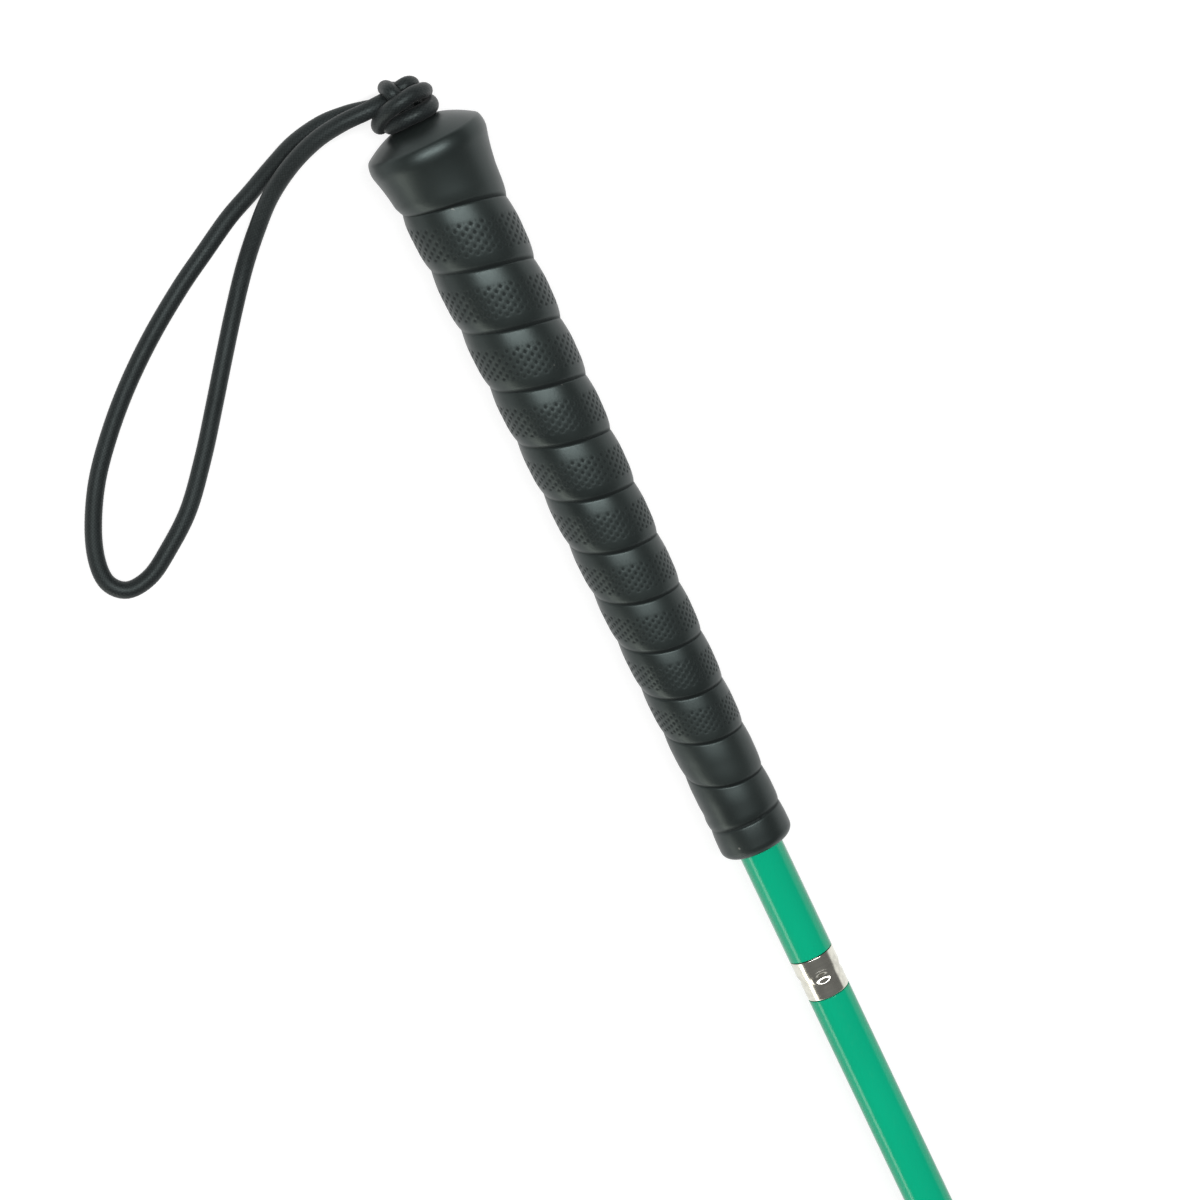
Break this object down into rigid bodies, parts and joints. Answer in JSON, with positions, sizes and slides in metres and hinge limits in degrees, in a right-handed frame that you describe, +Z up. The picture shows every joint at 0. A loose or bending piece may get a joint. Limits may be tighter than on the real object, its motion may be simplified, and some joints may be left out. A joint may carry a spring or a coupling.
{
  "type": "folding blind cane",
  "caption": "Folding mobility cane of four tubes on an elastic cord, with a spiral rubber grip, wrist loop and nylon tip.",
  "frame": {"origin": "middle of the cane's length, on the floor under its axis", "axes": "+X along the cane from the grip's cap to the tip, +Z up from the floor, the wrist loop on the -Y side"},
  "size_m": [1.2201, 0.1485, 0.0338],
  "materials": {
    "grip_rubber": "satin",
    "green_coat": "gloss",
    "polished_collar": "polished",
    "bare_tube": "satin",
    "black_nylon": "matte",
    "white_nylon": "satin",
    "black_cord": "braided",
    "steel_wire": "bright"
  },
  "bodies": {
    "upper_section": {"grip": "grip_rubber", "top_plug": "black_nylon", "wrist_knot": "black_cord", "wrist_loop": "black_cord", "tube_1": "green_coat", "spigot_1": "bare_tube", "collar_1": "polished_collar", "elastic_1": "black_cord"},
    "section_2": {"tube_2": "green_coat", "spigot_2": "bare_tube", "collar_2": "polished_collar", "elastic_2": "black_cord"},
    "section_3": {"tube_3": "green_coat", "spigot_3": "bare_tube", "collar_3": "polished_collar", "elastic_3": "black_cord"},
    "section_4": {"tube_4": "green_coat"},
    "tip_end": {"tip": "white_nylon", "tip_hook": "steel_wire", "cord_eye": "steel_wire", "cord_crimp": "steel_wire", "elastic_4": "black_cord"}
  },
  "joints": [
    {"name": "pull_1", "type": "slide", "parent": "upper_section", "child": "section_2", "axis": [1, 0, 0], "range_m": [0, 0.06], "stiffness_N_per_m": 300, "springref_m": -0.05},
    {"name": "pull_2", "type": "slide", "parent": "section_2", "child": "section_3", "axis": [1, 0, 0], "range_m": [0, 0.06], "stiffness_N_per_m": 300, "springref_m": -0.05},
    {"name": "pull_3", "type": "slide", "parent": "section_3", "child": "section_4", "axis": [1, 0, 0], "range_m": [0, 0.06], "stiffness_N_per_m": 300, "springref_m": -0.05},
    {"name": "tip_pull", "type": "slide", "parent": "section_4", "child": "tip_end", "axis": [1, 0, 0], "range_m": [0, 0.035], "stiffness_N_per_m": 300, "springref_m": -0.05}
  ]
}
